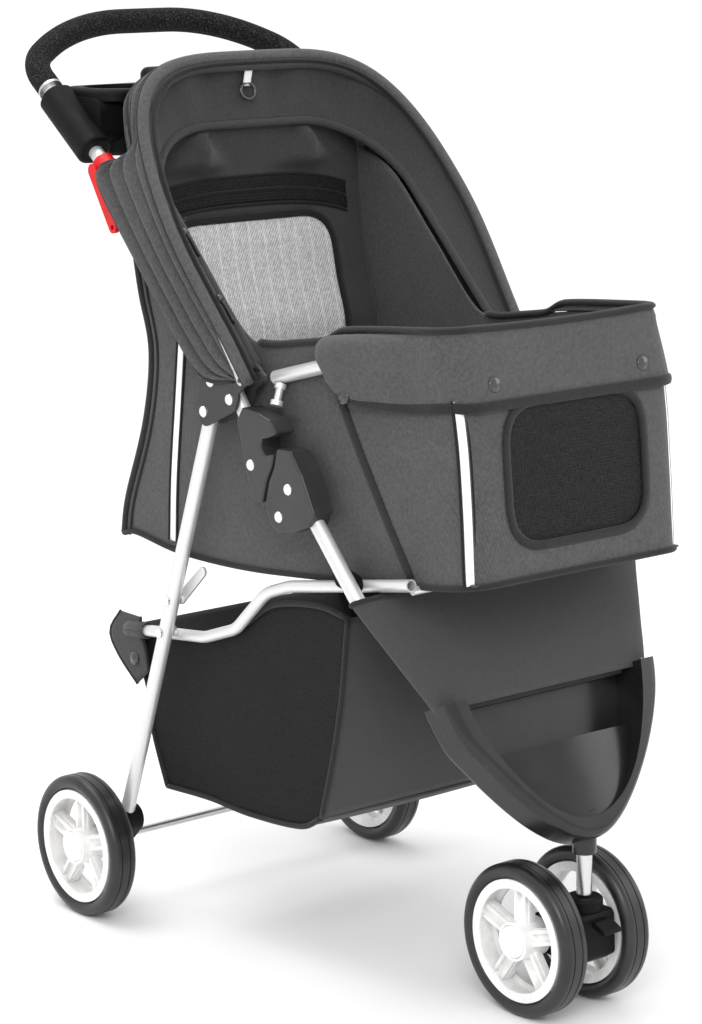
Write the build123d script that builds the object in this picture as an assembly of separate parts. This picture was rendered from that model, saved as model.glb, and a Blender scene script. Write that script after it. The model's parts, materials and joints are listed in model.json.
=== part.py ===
from build123d import *
import math
import os

# A three-wheeled folding pet stroller. Millimetres, +Z up, the front points to -Y,
# the floor is Z = 0. Dimensions along Y are given from the rear axle, and every part is
# moved by CENTRE_Y when it is written, so that Y = 0 is the middle of the whole object.

os.makedirs("parts", exist_ok=True)

# ---- driving dimensions -------------------------------------------------------------
CENTRE_Y = 218.0

WHEEL_D = 150.0
TYRE_W = 30.0
RIM_R = 60.0
AXLE_D = 8.0
RUNNING_FIT = 0.05
REAR_TRACK = 390.0
FRONT_TRACK = 81.0
FRONT_AXLE_Y = -514.0
AXLE_Z = WHEEL_D / 2
CASTER_Y = -553.0

TUBE_D = 15.0
TUBE_WALL = 1.4
BASKET_TUBE_D = 12.0
FRAME_X = 172.0
REAR_LEG_TOP_X = 172.0
REAR_LEG_FOOT_X = 165.0
BASKET_X = 151.0

# pivots of the folding side frame, as (y, z)
PLATE_PIVOT = (-209.0, 562.0)
LINK_PIVOT = (-251.0, 579.0)
KNEE_PIVOT = (-326.5, 476.0)
LEG_PIVOT = (-409.0, 422.0)
BASKET_PIVOT = (-116.2, 322.0)
STRUT_PIVOT = (-130.2, 358.0)
BOW_PIVOT = (-272.0, 600.0)

GRIP_D = 26.0
FABRIC = 5.0
CABIN_X = 148.0
CABIN_FRONT_X = 132.0
CANOPY_X = 195.0

SIDES = {"left": 1, "right": -1}


# ---- helpers ------------------------------------------------------------------------
def save(shape, name):
    export_step(Pos(0, CENTRE_Y, 0) * shape, f"parts/{name}.step")


def wire(points, radii):
    if len(points) == 2:
        return Line(*points)
    return FilletPolyline(*points, radius=radii)


def tube(points, radii, diameter, wall=None):
    path = wire(points, radii)
    start = Plane(origin=points[0], z_dir=Vector(*points[1]) - Vector(*points[0]))
    section = Circle(diameter / 2)
    if wall:
        section -= Circle(diameter / 2 - wall)
    return sweep(start * section, path=path)


def mirrored(points, side):
    return [(side * x, y, z) for x, y, z in points]


def there_and_back(points):
    return points + [(-x, y, z) for x, y, z in reversed(points)]


def slab(sketch, x0, x1):
    """A flat shape drawn in the (y, z) plane, between two x values."""
    low, high = sorted((x0, x1))
    return extrude(Plane.YZ.offset(low) * sketch, amount=high - low)


def disc(centre, radius, x0, x1):
    return slab(Pos(*centre) * Circle(radius), x0, x1)


def outline(points, corner=0.0):
    face = make_face(Polyline(*points, close=True))
    if corner:
        face = fillet(face.vertices(), corner)
    return face


def bone(p, r, q, s):
    """The hull of two circles."""
    return make_hull((Pos(*p) * Circle(r)).edges() + (Pos(*q) * Circle(s)).edges())


def turned(points):
    """A profile of (x, radius) points turned about the X axis."""
    return revolve(make_face(Polyline(*points, close=True)), Axis.X)


def rivet(centre, x_in, x_out, radius=5.5):
    """A domed head on the outside of x_out, with no shank past x_in."""
    away = 1 if x_out > x_in else -1
    head = disc(centre, radius, x_in, x_out)
    edge = head.faces().sort_by(Axis.X)[-1 if away > 0 else 0].edges()
    return chamfer(edge, 0.8)


# ---- wheels -------------------------------------------------------------------------
HUB_HALF = 16.0
HUB_R = 19.0
CAP_R = 16.0
SPOKES = 5
BARREL_HALF = 13.0


def tyre():
    section = Pos(0, (RIM_R + WHEEL_D / 2) / 2) * RectangleRounded(
        TYRE_W, WHEEL_D / 2 - RIM_R, 7.4
    )
    grooves = Sketch()
    for x in (-5.0, 5.0):
        grooves += Pos(x, WHEEL_D / 2) * Rectangle(1.2, 1.6)
    return revolve(Plane.XY * (section - grooves), Axis.X)


def rim(outer):
    """outer is +1 or -1: the side that carries the hub cap."""
    barrel = turned(
        [
            (-BARREL_HALF, 51),
            (-BARREL_HALF, 60),
            (BARREL_HALF, 60),
            (BARREL_HALF, 51),
            (BARREL_HALF - 2.5, 51),
            (BARREL_HALF - 4.5, 55.5),
            (-BARREL_HALF + 4.5, 55.5),
            (-BARREL_HALF + 2.5, 51),
        ]
    )
    hub = Rot(0, 90, 0) * Cylinder(HUB_R, 2 * HUB_HALF)
    wheel = barrel + hub
    for k in range(SPOKES):
        web = Pos(0, 0, 36) * Box(4, 17, 40)
        ribs = Pos(0, 5.8, 36) * Box(13, 3.6, 40) + Pos(0, -5.8, 36) * Box(13, 3.6, 40)
        wheel += Rot(360 / SPOKES * k, 0, 0) * (web + ribs)
    bore = Rot(0, 90, 0) * Cylinder(AXLE_D / 2 + RUNNING_FIT, 4 * HUB_HALF)
    recess = Pos(outer * (HUB_HALF - 1), 0, 0) * Rot(0, 90, 0) * Cylinder(CAP_R + 0.4, 2)
    return wheel - bore - recess


def hub_cap(outer):
    cap = Rot(0, 90, 0) * Cylinder(CAP_R, 4)
    face = cap.faces().sort_by(Axis.X)[-1 if outer > 0 else 0]
    return Pos(outer * (HUB_HALF + 0.1), 0, 0) * fillet(face.edges(), 2.5)


def write_wheel(name, x, y, outer):
    place = Pos(x, y, AXLE_Z)
    save(place * tyre(), f"{name}_tyre")
    save(place * rim(outer), f"{name}_rim")
    save(place * hub_cap(outer), f"{name}_hub_cap")


for side_name, side in SIDES.items():
    write_wheel(f"rear_{side_name}", side * REAR_TRACK / 2, 0, side)
    write_wheel(f"front_{side_name}", side * FRONT_TRACK / 2, FRONT_AXLE_Y, side)

rear_axle_half = REAR_TRACK / 2 + HUB_HALF - 3
front_axle_half = FRONT_TRACK / 2 + HUB_HALF - 3
rear_axle = disc((0, AXLE_Z), AXLE_D / 2, -rear_axle_half, rear_axle_half)
front_axle = disc((FRONT_AXLE_Y, AXLE_Z), AXLE_D / 2, -front_axle_half, front_axle_half)
save(rear_axle, "rear_axle")
save(front_axle, "front_axle")

# ---- rear legs, feet and brakes -----------------------------------------------------
LEG_FOOT = (-32.0, 104.0)
FOOT_IN = 152.0
FOOT_OUT = 177.0
PEDAL_PIVOT = (4.0, 108.0)
PEDAL_HALF = 7.0

LEG_LINE = [(REAR_LEG_TOP_X, -213.0, 572.4), (REAR_LEG_FOOT_X, *LEG_FOOT)]


def leg_x(z):
    """The rear legs close in a little towards their feet."""
    share = (z - LEG_LINE[1][2]) / (LEG_LINE[0][2] - LEG_LINE[1][2])
    return REAR_LEG_FOOT_X + share * (REAR_LEG_TOP_X - REAR_LEG_FOOT_X)


def rear_leg(side):
    return tube(mirrored(LEG_LINE, side), None, TUBE_D, TUBE_WALL)


def brake_housing(side):
    low = bone(LEG_FOOT, 14.5, (0, AXLE_Z), 17)
    ear = bone((-8, 96), 10, PEDAL_PIVOT, 7.5)
    block = slab(low + ear, side * FOOT_IN, side * FOOT_OUT)
    middle = side * (FOOT_IN + FOOT_OUT) / 2
    slot = slab(
        Pos(16, 116) * Rectangle(46, 37),
        middle - PEDAL_HALF - 0.4,
        middle + PEDAL_HALF + 0.4,
    )
    past_foot = Vector(*LEG_LINE[1]) + (Vector(*LEG_LINE[1]) - Vector(*LEG_LINE[0])) * 0.005
    hole_line = [LEG_LINE[0], (past_foot.X, past_foot.Y, past_foot.Z)]
    leg_hole = tube(mirrored(hole_line, side), None, TUBE_D + 0.3)
    axle_hole = disc((0, AXLE_Z), AXLE_D / 2, side * 140, side * 190)
    pin = disc(PEDAL_PIVOT, 2.0, side * (FOOT_IN + 1), side * (FOOT_OUT - 1))
    return block - slot - leg_hole - axle_hole + pin


def brake_pedal(side):
    middle = side * (FOOT_IN + FOOT_OUT) / 2
    arm = bone(PEDAL_PIVOT, 6.0, (34, 116), 4.5)
    neck = slab(arm, middle - PEDAL_HALF, middle + PEDAL_HALF)
    tread = slab(
        outline([(20, 108), (48, 112), (50, 121), (20, 120)], 3.5),
        middle - 12,
        middle + 12,
    )
    hole = disc(PEDAL_PIVOT, 2.0 + RUNNING_FIT, middle - 20, middle + 20)
    return neck + tread - hole


for side_name, side in SIDES.items():
    save(rear_leg(side), f"rear_leg_{side_name}")
    save(brake_housing(side), f"brake_housing_{side_name}")
    save(brake_pedal(side), f"brake_pedal_{side_name}")

# ---- handle, grip and hinge plates --------------------------------------------------
HANDLE_RUN = [
    (FRAME_X, -224, 588),
    (FRAME_X, -47, 780),
    (168, 98, 884),
    (92, 136.5, 922),
]
HANDLE_RADII = [90, 48, 200, 200, 48, 90]
GRIP_START = 0.77
BOW_EYE_R = 6.0
BOW_PIN_R = 2.0
CHEEK_GAP = TUBE_D / 2 + 0.4
CHEEK_T = 3.0

handle_points = there_and_back(HANDLE_RUN)
handle_tube = tube(handle_points, HANDLE_RADII, TUBE_D, TUBE_WALL)
save(handle_tube, "handle_tube")

bend, corner = HANDLE_RUN[1], HANDLE_RUN[2]
grip_end = tuple(a + (b - a) * GRIP_START for a, b in zip(bend, corner))
grip_points = there_and_back([grip_end] + HANDLE_RUN[2:])
grip_path = wire(grip_points, HANDLE_RADII[1:-1])
grip_plane = Plane(
    origin=grip_end, z_dir=Vector(*HANDLE_RUN[2]) - Vector(*grip_end)
)
grip_section = Circle(GRIP_D / 2) - Circle(TUBE_D / 2 + 0.1)
save(sweep(grip_plane * grip_section, path=grip_path), "foam_grip")

upper_run = Vector(*corner) - Vector(*bend)


def on_upper_run(side, distance):
    """A plane square to the handle tube, a distance up from its lower bend."""
    origin = Vector(*bend) + upper_run.normalized() * distance
    along = Vector(side * upper_run.X, upper_run.Y, upper_run.Z)
    return Plane(origin=(side * origin.X, origin.Y, origin.Z), z_dir=along)


def collar(side, distance, length, outer):
    ring = Circle(outer / 2) - Circle(TUBE_D / 2 + 0.1)
    return extrude(on_upper_run(side, distance) * ring, amount=length)


grip_rings = Part()
for side in SIDES.values():
    grip_rings += collar(side, upper_run.length * GRIP_START - 3, 2.8, GRIP_D)
save(grip_rings, "grip_end_rings")

plates = Part()
for side in SIDES.values():
    cheek = outline(
        [(-206, 545), (-196, 568), (-214, 607), (-228, 612), (-266, 586), (-258, 568)], 9
    )
    cheek += bone((-252, 588), 9, BOW_PIVOT, BOW_EYE_R)
    near = FRAME_X - CHEEK_GAP
    far = FRAME_X + CHEEK_GAP
    cheeks = slab(cheek, side * (near - CHEEK_T), side * near)
    cheeks += slab(cheek, side * far, side * (far + CHEEK_T))
    cheeks += disc(BOW_PIVOT, BOW_PIN_R, side * (near - 8), side * near)
    cheeks += disc(BOW_PIVOT, BOW_PIN_R, side * far, side * (far + 8))
    plates += cheeks
save(plates, "hinge_plates")

# ---- upper links and the fold latches -----------------------------------------------
LATCH_IN = FRAME_X - 12.0
LATCH_OUT = FRAME_X + 12.0
TONGUE_HALF = 3.5
LATCH_CORNER = 2.6
LATCH_RIM = 2.0

LATCH_UPPER = [
    (-262, 560),
    (-271, 574),
    (-294, 572),
    (-312, 567),
    (-324, 555),
    (-312, 550),
    (-301, 547),
    (-299, 539),
    (-305, 532),
    (-319, 535),
    (-315, 522),
    (-307, 508),
    (-300, 486),
    (-289, 484),
    (-276, 512),
]
LATCH_LOWER = [
    (-324, 541),
    (-345, 541),
    (-361, 521),
    (-379, 487),
    (-371, 473),
    (-349, 464),
    (-326, 460),
    (-311, 467),
    (-305, 485),
    (-311, 508),
    (-319, 522),
]


def upper_link_line(side):
    direction = (KNEE_PIVOT[0] - LINK_PIVOT[0], KNEE_PIVOT[1] - LINK_PIVOT[1])
    reach = math.hypot(*direction)
    unit = (direction[0] / reach, direction[1] / reach)
    start = (LINK_PIVOT[0] - 10 * unit[0], LINK_PIVOT[1] - 10 * unit[1])
    end = (LINK_PIVOT[0] + 78 * unit[0], LINK_PIVOT[1] + 78 * unit[1])
    return mirrored([(FRAME_X, *start), (FRAME_X, *end)], side)


def upper_link(side):
    return tube(upper_link_line(side), None, TUBE_D, TUBE_WALL)


def latch_half(points, side):
    """A moulded half of the latch with rounded rims on both flat faces."""
    body = slab(outline(points, LATCH_CORNER), side * LATCH_IN, side * LATCH_OUT)
    ends = body.faces().sort_by(Axis.X)
    return fillet(ends[0].edges() + ends[-1].edges(), LATCH_RIM)


def latch_upper(side):
    body = latch_half(LATCH_UPPER, side)
    middle = side * FRAME_X
    tongue = slab(
        bone((-298, 506), 10, KNEE_PIVOT, 10), middle - TONGUE_HALF, middle + TONGUE_HALF
    )
    hole = disc(KNEE_PIVOT, 3.0 + RUNNING_FIT, middle - 20, middle + 20)
    link = tube(upper_link_line(side), None, TUBE_D + 0.3)
    return body + tongue - link - hole


def latch_lower(side):
    body = latch_half(LATCH_LOWER, side)
    middle = side * FRAME_X
    swing = Pos(*KNEE_PIVOT) * Rectangle(140, 24, align=(Align.MIN, Align.MIN))
    lower = Pos(KNEE_PIVOT[0] - 13, KNEE_PIVOT[1] + 13) * Rectangle(
        160, 160, align=(Align.MIN, Align.MAX)
    )
    slot = slab(swing + lower, middle - TONGUE_HALF - 0.4, middle + TONGUE_HALF + 0.4)
    tongue_gap = slab(
        bone((-298, 506), 12, KNEE_PIVOT, 12),
        middle - TONGUE_HALF - 0.4,
        middle + TONGUE_HALF + 0.4,
    )
    leg = tube(mirrored(FRONT_LEG_TOP, side), None, TUBE_D + 0.3)
    pin = disc(KNEE_PIVOT, 3.0, side * LATCH_IN, side * LATCH_OUT)
    return body - slot - tongue_gap - leg + pin


FRONT_LEG_RUN = [
    (FRAME_X, -341.0, 504.5),
    (FRAME_X, -429.0, 409.0),
    (124.0, -495.0, 309.0),
    (112.0, -508.0, 284.0),
]
FRONT_LEG_TOP = FRONT_LEG_RUN[:2]


def front_leg(side):
    return tube(mirrored(FRONT_LEG_RUN, side), [45, 60], TUBE_D, TUBE_WALL)


for side_name, side in SIDES.items():
    save(upper_link(side), f"upper_link_{side_name}")
    save(latch_upper(side), f"latch_upper_{side_name}")
    save(latch_lower(side), f"latch_lower_{side_name}")
    save(front_leg(side), f"front_leg_{side_name}")

# ---- rivets, grouped by the part that carries them ----------------------------------
plate_out = FRAME_X + CHEEK_GAP + CHEEK_T
plate_rivets = Part()
latch_rivets = Part()
lower_rivets = Part()
for side in SIDES.values():
    for spot in [PLATE_PIVOT, LINK_PIVOT, (-221, 593)]:
        plate_rivets += rivet(spot, side * plate_out, side * (plate_out + 2.4))
    latch_rivets += rivet((-284, 520), side * LATCH_OUT, side * (LATCH_OUT + 1.8))
    for spot in [(-341, 504.5), KNEE_PIVOT]:
        lower_rivets += rivet(spot, side * LATCH_OUT, side * (LATCH_OUT + 1.8))
save(plate_rivets, "hinge_plate_rivets")
save(latch_rivets, "latch_upper_rivets")
save(lower_rivets, "latch_lower_rivets")

# ---- basket tube, clips and cabin struts --------------------------------------------
BASKET_RUN = [
    (BASKET_X, -480, 431),
    (BASKET_X, -300, 399),
    (BASKET_X, -262, 386),
    (BASKET_X, -212, 340),
    (BASKET_X, -160, 322),
    (BASKET_X, -24, 306),
]
BASKET_RADII = [60, 60, 45, 55]


def basket_rail(side):
    return tube(mirrored(BASKET_RUN, side), BASKET_RADII, BASKET_TUBE_D, 1.2)


def basket_clip(side):
    """A black block that hangs the rail from the front leg."""
    inner = BASKET_X + BASKET_TUBE_D / 2
    outer = FRAME_X - TUBE_D / 2
    return slab(bone(LEG_PIVOT, 9, (-392, 425), 9), side * (inner + 0.1), side * (outer - 0.3))


for side_name, side in SIDES.items():
    save(basket_rail(side), f"basket_rail_{side_name}")
save(Part() + [basket_clip(side) for side in (1, -1)], "rail_clips")

rail_cross = tube([(BASKET_X - 6.2, -474, 424), (-BASKET_X + 6.2, -474, 424)], None, 8)
save(rail_cross, "rail_cross_bar")

leg_spacers = Part()
strut_bars = Part()
leg_rivets = Part()
for side in SIDES.values():
    leg_in = leg_x(STRUT_PIVOT[1]) - TUBE_D / 2
    leg_out = leg_x(STRUT_PIVOT[1]) + TUBE_D / 2
    leg_spacers += disc(STRUT_PIVOT, 5, side * (leg_in - 1.9), side * (leg_in - 0.1))
    strut = bone(STRUT_PIVOT, 6, (-168, 392), 5)
    strut_bars += slab(strut, side * (leg_in - 4.4), side * (leg_in - 2.0))
    pin_out = leg_x(BASKET_PIVOT[1]) - TUBE_D / 2 - 0.1
    rail_out = BASKET_X + BASKET_TUBE_D / 2
    leg_spacers += disc(BASKET_PIVOT, 5, side * (rail_out + 0.1), side * pin_out)
    for spot in [STRUT_PIVOT, BASKET_PIVOT]:
        leg_rivets += rivet(spot, side * (leg_out + 0.2), side * (leg_out + 2.2), 5.0)
save(leg_spacers + strut_bars, "cabin_struts")
save(leg_rivets, "rear_leg_rivets")

# ---- bumper bar across the front of the cabin ---------------------------------------
BUMPER_D = 14.0
BUMPER_X = 152.0
BUMPER_RADII = [120, 34, 34, 120]
bumper_points = [
    (BUMPER_X, -284, 600.8),
    (BUMPER_X, -380, 626),
    (124, -503, 654),
]
bumper = tube(there_and_back(bumper_points), BUMPER_RADII, BUMPER_D, 1.2)
save(bumper, "bumper_bar")


def bumper_post(side):
    """A spool-shaped bolt from the bar down to the top of the latch."""
    top = Vector(side * (BUMPER_X + 4.5), -297, 597)
    foot = Vector(side * (LATCH_IN + 5), -300, 577.0)
    axis = foot - top
    post = extrude(Plane(origin=top, z_dir=axis) * Circle(3.6), amount=axis.length)
    for share, radius in [(0.02, 5.5), (0.78, 6.0)]:
        flange = Plane(origin=top + axis * share, z_dir=axis) * Circle(radius)
        post += extrude(flange, amount=axis.length * 0.22)
    return post - tube(there_and_back(bumper_points), BUMPER_RADII, BUMPER_D + 0.1)


save(Part() + [bumper_post(side) for side in (1, -1)], "bumper_posts")

# ---- front tray: a boat-shaped moulding between the front legs ----------------------
TRAY_TOP = (-492.0, 314.0)
TRAY_TIP = (-556.0, 174.0)
TRAY_T = 44.0
tray_down = (TRAY_TIP[0] - TRAY_TOP[0], TRAY_TIP[1] - TRAY_TOP[1])
tray_length = math.hypot(*tray_down)
tray_plane = Plane(
    origin=(0, *TRAY_TOP),
    x_dir=(1, 0, 0),
    z_dir=(0, tray_down[1] / tray_length, -tray_down[0] / tray_length),
)


def tray_outline(inset, top, reach):
    """Half widths shrink from the leg sockets to a blunt tip."""
    right = [(135 - inset, top), (111 - inset, -60), (64 - inset, -118)]
    left = [(-x, y) for x, y in reversed(right)]
    curve = Spline(*right, (0, -reach), *left, tangents=[(-0.15, -1), (-0.15, 1)])
    return make_face(Curve() + [curve, Line(left[-1], right[0])])


LIP_S = 57.0
BEAD = 20.0
TRAY_SKIN = 5.0
BULGE_R = 260.0
tray_body = extrude(tray_plane * tray_outline(0, 0, tray_length), amount=TRAY_T / 2, both=True)
tray_body = fillet(tray_body.edges().filter_by(GeomType.BSPLINE), 9)
recess = extrude(
    tray_plane.offset(-TRAY_T / 2 + TRAY_SKIN) * tray_outline(BEAD, 12, tray_length - BEAD),
    amount=TRAY_T,
)
bulge_out = Pos(0, 0, TRAY_T / 2 - 2 - BULGE_R) * Rot(90, 0, 0) * Cylinder(BULGE_R, 400)
bulge_in = Pos(0, 0, TRAY_T / 2 - 2 - BULGE_R) * Rot(90, 0, 0) * Cylinder(BULGE_R - 4, 400)
below_lip = Pos(0, -LIP_S - 100, 0) * Box(400, 200, 200)
pocket_front = tray_plane * ((bulge_out - bulge_in) & below_lip)
tray = tray_body - recess + (pocket_front & recess & tray_body)
for side in SIDES.values():
    tray -= tube(mirrored(FRONT_LEG_RUN[1:], side), [60], TUBE_D + 0.3)
stem_socket = Pos(0, CASTER_Y, 184) * Cylinder(11.5, 44)
stem_bore = Pos(0, CASTER_Y, 160) * Cylinder(7.6, 70)
tray = tray + stem_socket - stem_bore
save(tray, "front_tray")

# ---- caster -------------------------------------------------------------------------
STEM_D = 15.0
STEM_TOP = 194.0
CAP_Z = 119.0
CASTER_HALF = 20.0
caster_stem = Pos(0, CASTER_Y, (STEM_TOP + CAP_Z + 2) / 2) * Cylinder(
    STEM_D / 2, STEM_TOP - CAP_Z - 2
)
save(caster_stem, "caster_stem")
caster_cap = Pos(0, CASTER_Y, CAP_Z - 6) * Cylinder(18, 12)
caster_cap = fillet(caster_cap.edges().group_by(Axis.Z)[-1], 3)
block = slab(
    outline(
        [(-573, 106.8), (-533, 106.8), (-503, 92), (-499, 66), (-513, 58), (-562, 55), (-575, 64)],
        6,
    ),
    -CASTER_HALF,
    CASTER_HALF,
)
block -= disc((FRONT_AXLE_Y, AXLE_Z), AXLE_D / 2, -40, 40)
block -= slab(Pos(-520, 66) * Rectangle(80, 40), -7, 7) & slab(
    Pos(-545, 70) * Rectangle(36, 60), -7, 7
)
save(block, "caster_block")
save(caster_cap, "caster_cap")
lock = slab(bone((-578.5, 98), 3, (-590, 93), 2.6), -11, 11)
save(lock, "swivel_lock_lever")

# ---- parent console between the handle tubes ----------------------------------------
# It clasps both tubes of the upper handle run, with a cup well at each side and a bin
# in the raised middle.
CUP_R = 37.0
CUP_X = 112.0
CUP_DEPTH = 62.0
CUP_SKIN = 3.5
DECK_Y = 22.0
DECK_TOP = 862.0
DECK_T = 12.0
HUMP_HALF = 66.0
HUMP_TOP = 878.0
BIN_FLOOR = 790.0
SKIRT_X = 118.0
SKIRT_Z = 830.0
SKIRT_WIDTH = 74.0
SKIRT_HEIGHT = 46.0
CLASP_FROM = 36.0
CLASP_LENGTH = 86.0


def console():
    deck = Pos(0, DECK_Y, DECK_TOP - DECK_T / 2) * Box(2 * 158, 92, DECK_T)
    deck = fillet(deck.edges().filter_by(Axis.Z), 24)
    deck = fillet(deck.edges().group_by(Axis.Z)[-1], 5)
    hump_height = HUMP_TOP - BIN_FLOOR + CUP_SKIN
    hump = Pos(0, DECK_Y, HUMP_TOP - hump_height / 2) * Box(2 * HUMP_HALF, 84, hump_height)
    hump = fillet(hump.edges().filter_by(Axis.Z), 20)
    hump = fillet(hump.edges().group_by(Axis.Z)[-1], 8)
    body = deck + hump
    for side in SIDES.values():
        pod = Pos(side * CUP_X, DECK_Y, DECK_TOP - DECK_T / 2 - CUP_DEPTH / 2)
        pod *= Cylinder(CUP_R + CUP_SKIN, CUP_DEPTH)
        body += fillet(pod.edges().group_by(Axis.Z)[0], 6)
        skirt = Plane((side * SKIRT_X, DECK_Y, SKIRT_Z), x_dir=(0, 1, 0), z_dir=(side, 0, 0))
        skirt *= RectangleRounded(SKIRT_WIDTH, SKIRT_HEIGHT, 14)
        body += extrude(skirt, amount=44)
        clasp = extrude(
            on_upper_run(side, CLASP_FROM) * RectangleRounded(34, 36, 15), amount=CLASP_LENGTH
        )
        body += fillet(clasp.faces().sort_by(Axis.Y)[0].edges(), 4)
    for side in SIDES.values():
        body -= extrude(on_upper_run(side, 20) * Circle(TUBE_D / 2 + 0.15), amount=120)
        well = Pos(side * CUP_X, DECK_Y, DECK_TOP - CUP_DEPTH)
        body -= well * Cylinder(CUP_R, 80, align=(Align.CENTER, Align.CENTER, Align.MIN))
    bin_space = Box(100, 64, 120, align=(Align.CENTER, Align.CENTER, Align.MIN))
    bin_space = fillet(bin_space.edges().filter_by(Axis.Z), 14)
    return body - Pos(0, DECK_Y, BIN_FLOOR) * bin_space


save(console(), "parent_console")

# ---- release lever on the right handle tube, tether straps --------------------------
RIGHT = SIDES["right"]
COLLAR_D = 23.0
save(collar(RIGHT, 8, 12, COLLAR_D), "release_collar")
lower_run = Vector(*HANDLE_RUN[1]) - Vector(*HANDLE_RUN[0])
lever_arm = bone((-36, 784), 7, (-69, 730), 6) - Pos(-69, 730) * Circle(2.6)
lever_in = FRAME_X + COLLAR_D / 2 + 0.3
lever = slab(lever_arm, RIGHT * lever_in, RIGHT * (lever_in + 4.7))
save(lever, "release_lever")

straps = Part()
for side in SIDES.values():
    origin = Vector(*HANDLE_RUN[1]) - lower_run.normalized() * 40
    plane = Plane(
        origin=(side * origin.X, origin.Y, origin.Z),
        z_dir=(side * lower_run.X, lower_run.Y, lower_run.Z),
    )
    band = Circle(TUBE_D / 2 + 1.8) - Circle(TUBE_D / 2 + 0.3)
    straps += extrude(plane * band, amount=24)
save(straps, "tether_straps")

# ---- canopy bows --------------------------------------------------------------------
BOW_D = 6.0
FRONT_BOW_X = CANOPY_X - 9
SEAM_BOW_X = 157.0
FRONT_BOW_ANGLE = 53.0
SEAM_BOW_ANGLE = 45.6
EYE_T = 3.4


def bow(angle, reach, half_width, corner_radius, eye_x):
    """A wire arch that leans back from the pivot at an angle above the horizontal."""
    up = (math.cos(math.radians(angle)), math.sin(math.radians(angle)))
    lower = (half_width, BOW_PIVOT[0] + 12 * up[0], BOW_PIVOT[1] + 12 * up[1])
    top = (half_width, BOW_PIVOT[0] + reach * up[0], BOW_PIVOT[1] + reach * up[1])
    arch = tube(there_and_back([lower, top]), [corner_radius] * 2, BOW_D)
    for side in SIDES.values():
        eye = bone(BOW_PIVOT, BOW_EYE_R - 1, (lower[1] + 2 * up[0], lower[2] + 2 * up[1]), 3.2)
        eye -= Pos(*BOW_PIVOT) * Circle(BOW_PIN_R + RUNNING_FIT)
        arch += slab(eye, side * eye_x, side * (eye_x + EYE_T))
    return arch


plate_outside = FRAME_X + CHEEK_GAP + CHEEK_T + 0.3
plate_inside = FRAME_X - CHEEK_GAP - CHEEK_T - 0.3
save(bow(FRONT_BOW_ANGLE, 352, FRONT_BOW_X, 125, plate_outside), "canopy_front_bow")
save(bow(SEAM_BOW_ANGLE, 311, SEAM_BOW_X, 100, plate_inside - EYE_T), "canopy_seam_bow")

# ---- soft goods: plain solids of the true outer shape -------------------------------
CABIN_SIDE = [
    (-20, 407),
    (-548, 437),
    (-531, 600),
    (-514, 660),
    (-393, 648),
    (-235, 625),
    (-100, 700),
    (-44, 783),
    (-60, 663),
    (-76, 604),
    (-64, 531),
]
CABIN_INNER = [
    (-30, 414),
    (-541, 443),
    (-524, 600),
    (-508, 720),
    (-235, 800),
    (-52, 800),
    (-67, 663),
    (-83, 604),
    (-71, 531),
]


def cabin_plan(inset):
    """Seen from above, the cabin narrows from its middle to its front."""
    half, front = CABIN_X - inset, CABIN_FRONT_X - inset
    right = [(half, 20), (half, -250), (front, -570)]
    left = [(-x, y) for x, y in reversed(right)]
    return extrude(make_face(Polyline(*right, *left, close=True)), amount=900)


def cabin_shell():
    outer = slab(outline(CABIN_SIDE), -CABIN_X, CABIN_X) & cabin_plan(0)
    inner = slab(outline(CABIN_INNER), -CABIN_X, CABIN_X) & cabin_plan(FABRIC)
    bar_room = tube(there_and_back(bumper_points), BUMPER_RADII, BUMPER_D + 1.0)
    return outer - inner - bar_room


save(cabin_shell(), "cabin_shell")

board = slab(outline([(-60, 416.5), (-530, 443.3), (-530, 447.3), (-60, 420.5)]), -124, 124)
mat = slab(outline([(-64, 421.3), (-526, 447.6), (-525, 459.6), (-64, 433.3)]), -120, 120)
save(board, "floor_board")
save(mat, "floor_mat")

CANOPY_SIDE = [(-268, 606), (-58, 894), (-30, 878), (-34, 800), (-64, 768), (-236, 606)]
CANOPY_INNER = [(-340, 560), (-120, 889), (-64, 889), (-36, 872), (-40, 690), (-236, 560)]


def canopy_arch(inset):
    """Seen from the front, the canopy is an arch with large round corners."""
    top = 894 - inset
    half = CANOPY_X - inset
    arch = Pos(0, top - 250) * RectangleRounded(2 * half, 500, 100 - inset)
    return extrude(Plane.XZ * arch, amount=400, both=True)


def canopy():
    outer = slab(outline(CANOPY_SIDE), -CANOPY_X, CANOPY_X) & canopy_arch(0)
    inner = slab(outline(CANOPY_INNER), -CANOPY_X, CANOPY_X) & canopy_arch(FABRIC)
    tube_room = tube(handle_points, HANDLE_RADII, TUBE_D + 8)
    return outer - inner - tube_room


save(canopy(), "canopy_cloth")

BASKET_SIDE = [
    (-16, 300),
    (-44, 254),
    (-70, 143),
    (-144, 147),
    (-293, 153),
    (-327, 170),
    (-366, 299),
    (-378, 372),
    (-330, 366),
    (-250, 346),
    (-160, 312),
]


def storage_basket():
    half = BASKET_X - BASKET_TUBE_D / 2 - 1.0
    outer = slab(outline(BASKET_SIDE), -half, half)
    inner_side = [
        (-22, 300),
        (-50, 254),
        (-75, 149),
        (-144, 153),
        (-290, 159),
        (-322, 173),
        (-360, 299),
        (-373, 420),
        (-160, 420),
        (-22, 420),
    ]
    inner = slab(outline(inner_side), -half + 4, half - 4)
    return outer - inner


save(storage_basket(), "storage_basket")

# The sleeve is a cloth panel between the front legs, from the cabin down to the tray.
SLEEVE_T = 6.0
sleeve_plane = Plane(origin=(0, -431, 406), x_dir=(1, 0, 0), z_dir=(0, -0.835, 0.55))
sleeve_face = make_face(Polyline((158, 0), (116, -104), (-116, -104), (-158, 0), close=True))
sleeve = extrude(sleeve_plane * sleeve_face, amount=SLEEVE_T / 2, both=True)
save(sleeve, "leg_sleeve")
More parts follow.
